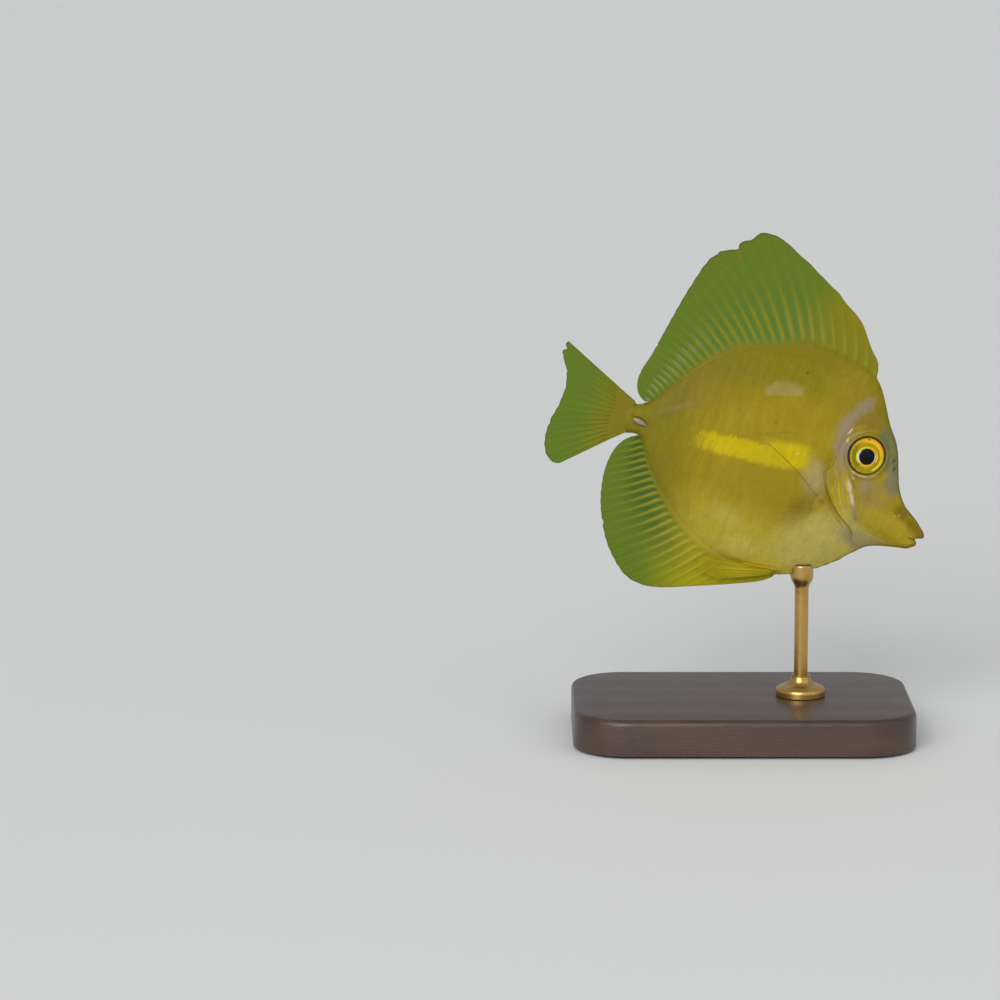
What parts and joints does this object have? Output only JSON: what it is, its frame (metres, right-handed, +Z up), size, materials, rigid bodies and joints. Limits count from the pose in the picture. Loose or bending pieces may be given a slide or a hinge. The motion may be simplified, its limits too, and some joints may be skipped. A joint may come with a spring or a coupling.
{
  "type": "still model of a young yellow tang on a display stand",
  "caption": "Life-size still model of a young yellow tang, fins spread and nose a little down, held on a turned rod over a flat base.",
  "frame": {"origin": "centre of the stand base's underside", "axes": "+X the way the fish faces, +Y to its left, +Z up"},
  "size_m": [0.0491, 0.03, 0.0653],
  "materials": {
    "skin": "satin painted skin",
    "fin": "satin, slightly translucent",
    "eye": "high gloss",
    "blade": "smooth, pale",
    "stand_wood": "dark stained, waxed",
    "stand_brass": "turned, softly polished"
  },
  "bodies": {
    "root": {"head": "skin", "trunk": "skin", "tail_stalk": "skin", "eye_left": "eye", "eye_right": "eye", "dorsal_fin": "fin", "anal_fin": "fin", "tail_fin": "fin", "pectoral_fin_left": "fin", "pectoral_fin_right": "fin", "pelvic_fin_left": "fin", "pelvic_fin_right": "fin", "tail_blade_left": "blade", "tail_blade_right": "blade", "stand_base": "stand_wood", "stand_rod": "stand_brass"}
  },
  "joints": []
}
